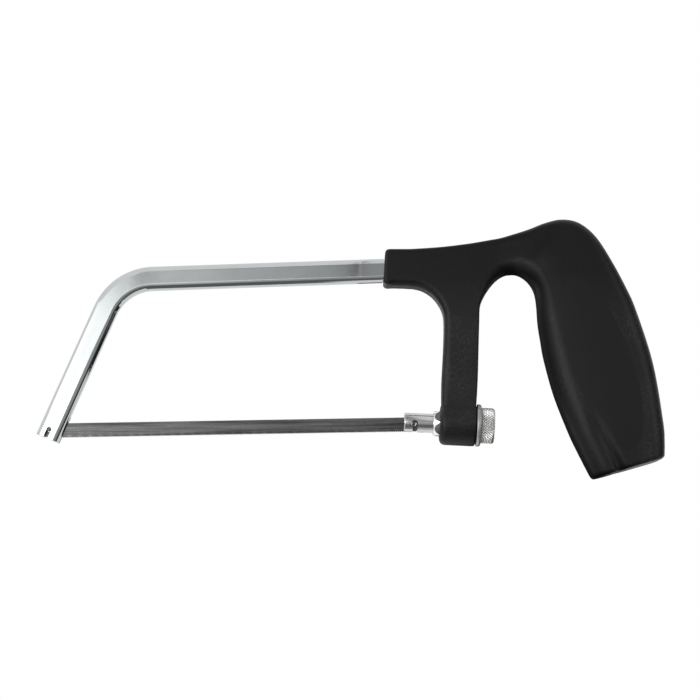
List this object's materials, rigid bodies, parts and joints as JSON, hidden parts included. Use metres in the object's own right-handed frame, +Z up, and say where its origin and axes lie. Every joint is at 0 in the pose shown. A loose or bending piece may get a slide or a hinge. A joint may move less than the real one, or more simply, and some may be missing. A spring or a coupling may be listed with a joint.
{
  "type": "mini hacksaw",
  "caption": "Mini hacksaw: bent plated steel bar frame, black pistol-grip handle and a fine-toothed pinned blade, pulled tight by a hooked stud with a knurled nut.",
  "frame": {"origin": "the middle of the hand grip", "axes": "+X along the blade from the front end of the frame to the handle, +Z up from the blade to the frame's top bar, Y the thickness, with the saw upright as in use"},
  "size_m": [0.2575, 0.0274, 0.1073],
  "materials": {
    "plated_steel": "satin plating",
    "handle_black": "fine moulded grain",
    "bright_steel": "bright turned",
    "blade_steel": "dark, rolled lengthwise"
  },
  "bodies": {
    "frame": {"frame_bar": "plated_steel", "handle": "handle_black", "frame_pin_front": "bright_steel", "frame_pin_rear": "bright_steel", "thrust_washer": "bright_steel"},
    "nut": {"knurled_nut": "bright_steel"},
    "tensioner": {"tension_stud": "bright_steel"},
    "blade": {"saw_blade": "blade_steel", "blade_pin_front": "bright_steel", "blade_pin_rear": "bright_steel"}
  },
  "joints": [
    {"name": "nut_turn", "type": "hinge", "parent": "frame", "child": "nut", "pos_m": [-0.079, 0, -0.02932], "axis": [0.9981, 0, -0.061], "range_deg": [0, 1080]},
    {"name": "stud_slide", "type": "slide", "parent": "frame", "child": "tensioner", "axis": [-0.9981, 0, 0.061], "range_m": [0, 0.003]},
    {"name": "blade_swing", "type": "hinge", "parent": "tensioner", "child": "blade", "pos_m": [-0.079, 0, -0.02972], "axis": [0, -1, 0], "range_deg": [0, 2.56]}
  ],
  "couplings": [
    {"joint": "stud_slide", "follows": "nut_turn", "m_per_rad": 0.00015915},
    {"joint": "blade_swing", "follows": "nut_turn", "ratio": 0.0023611}
  ]
}
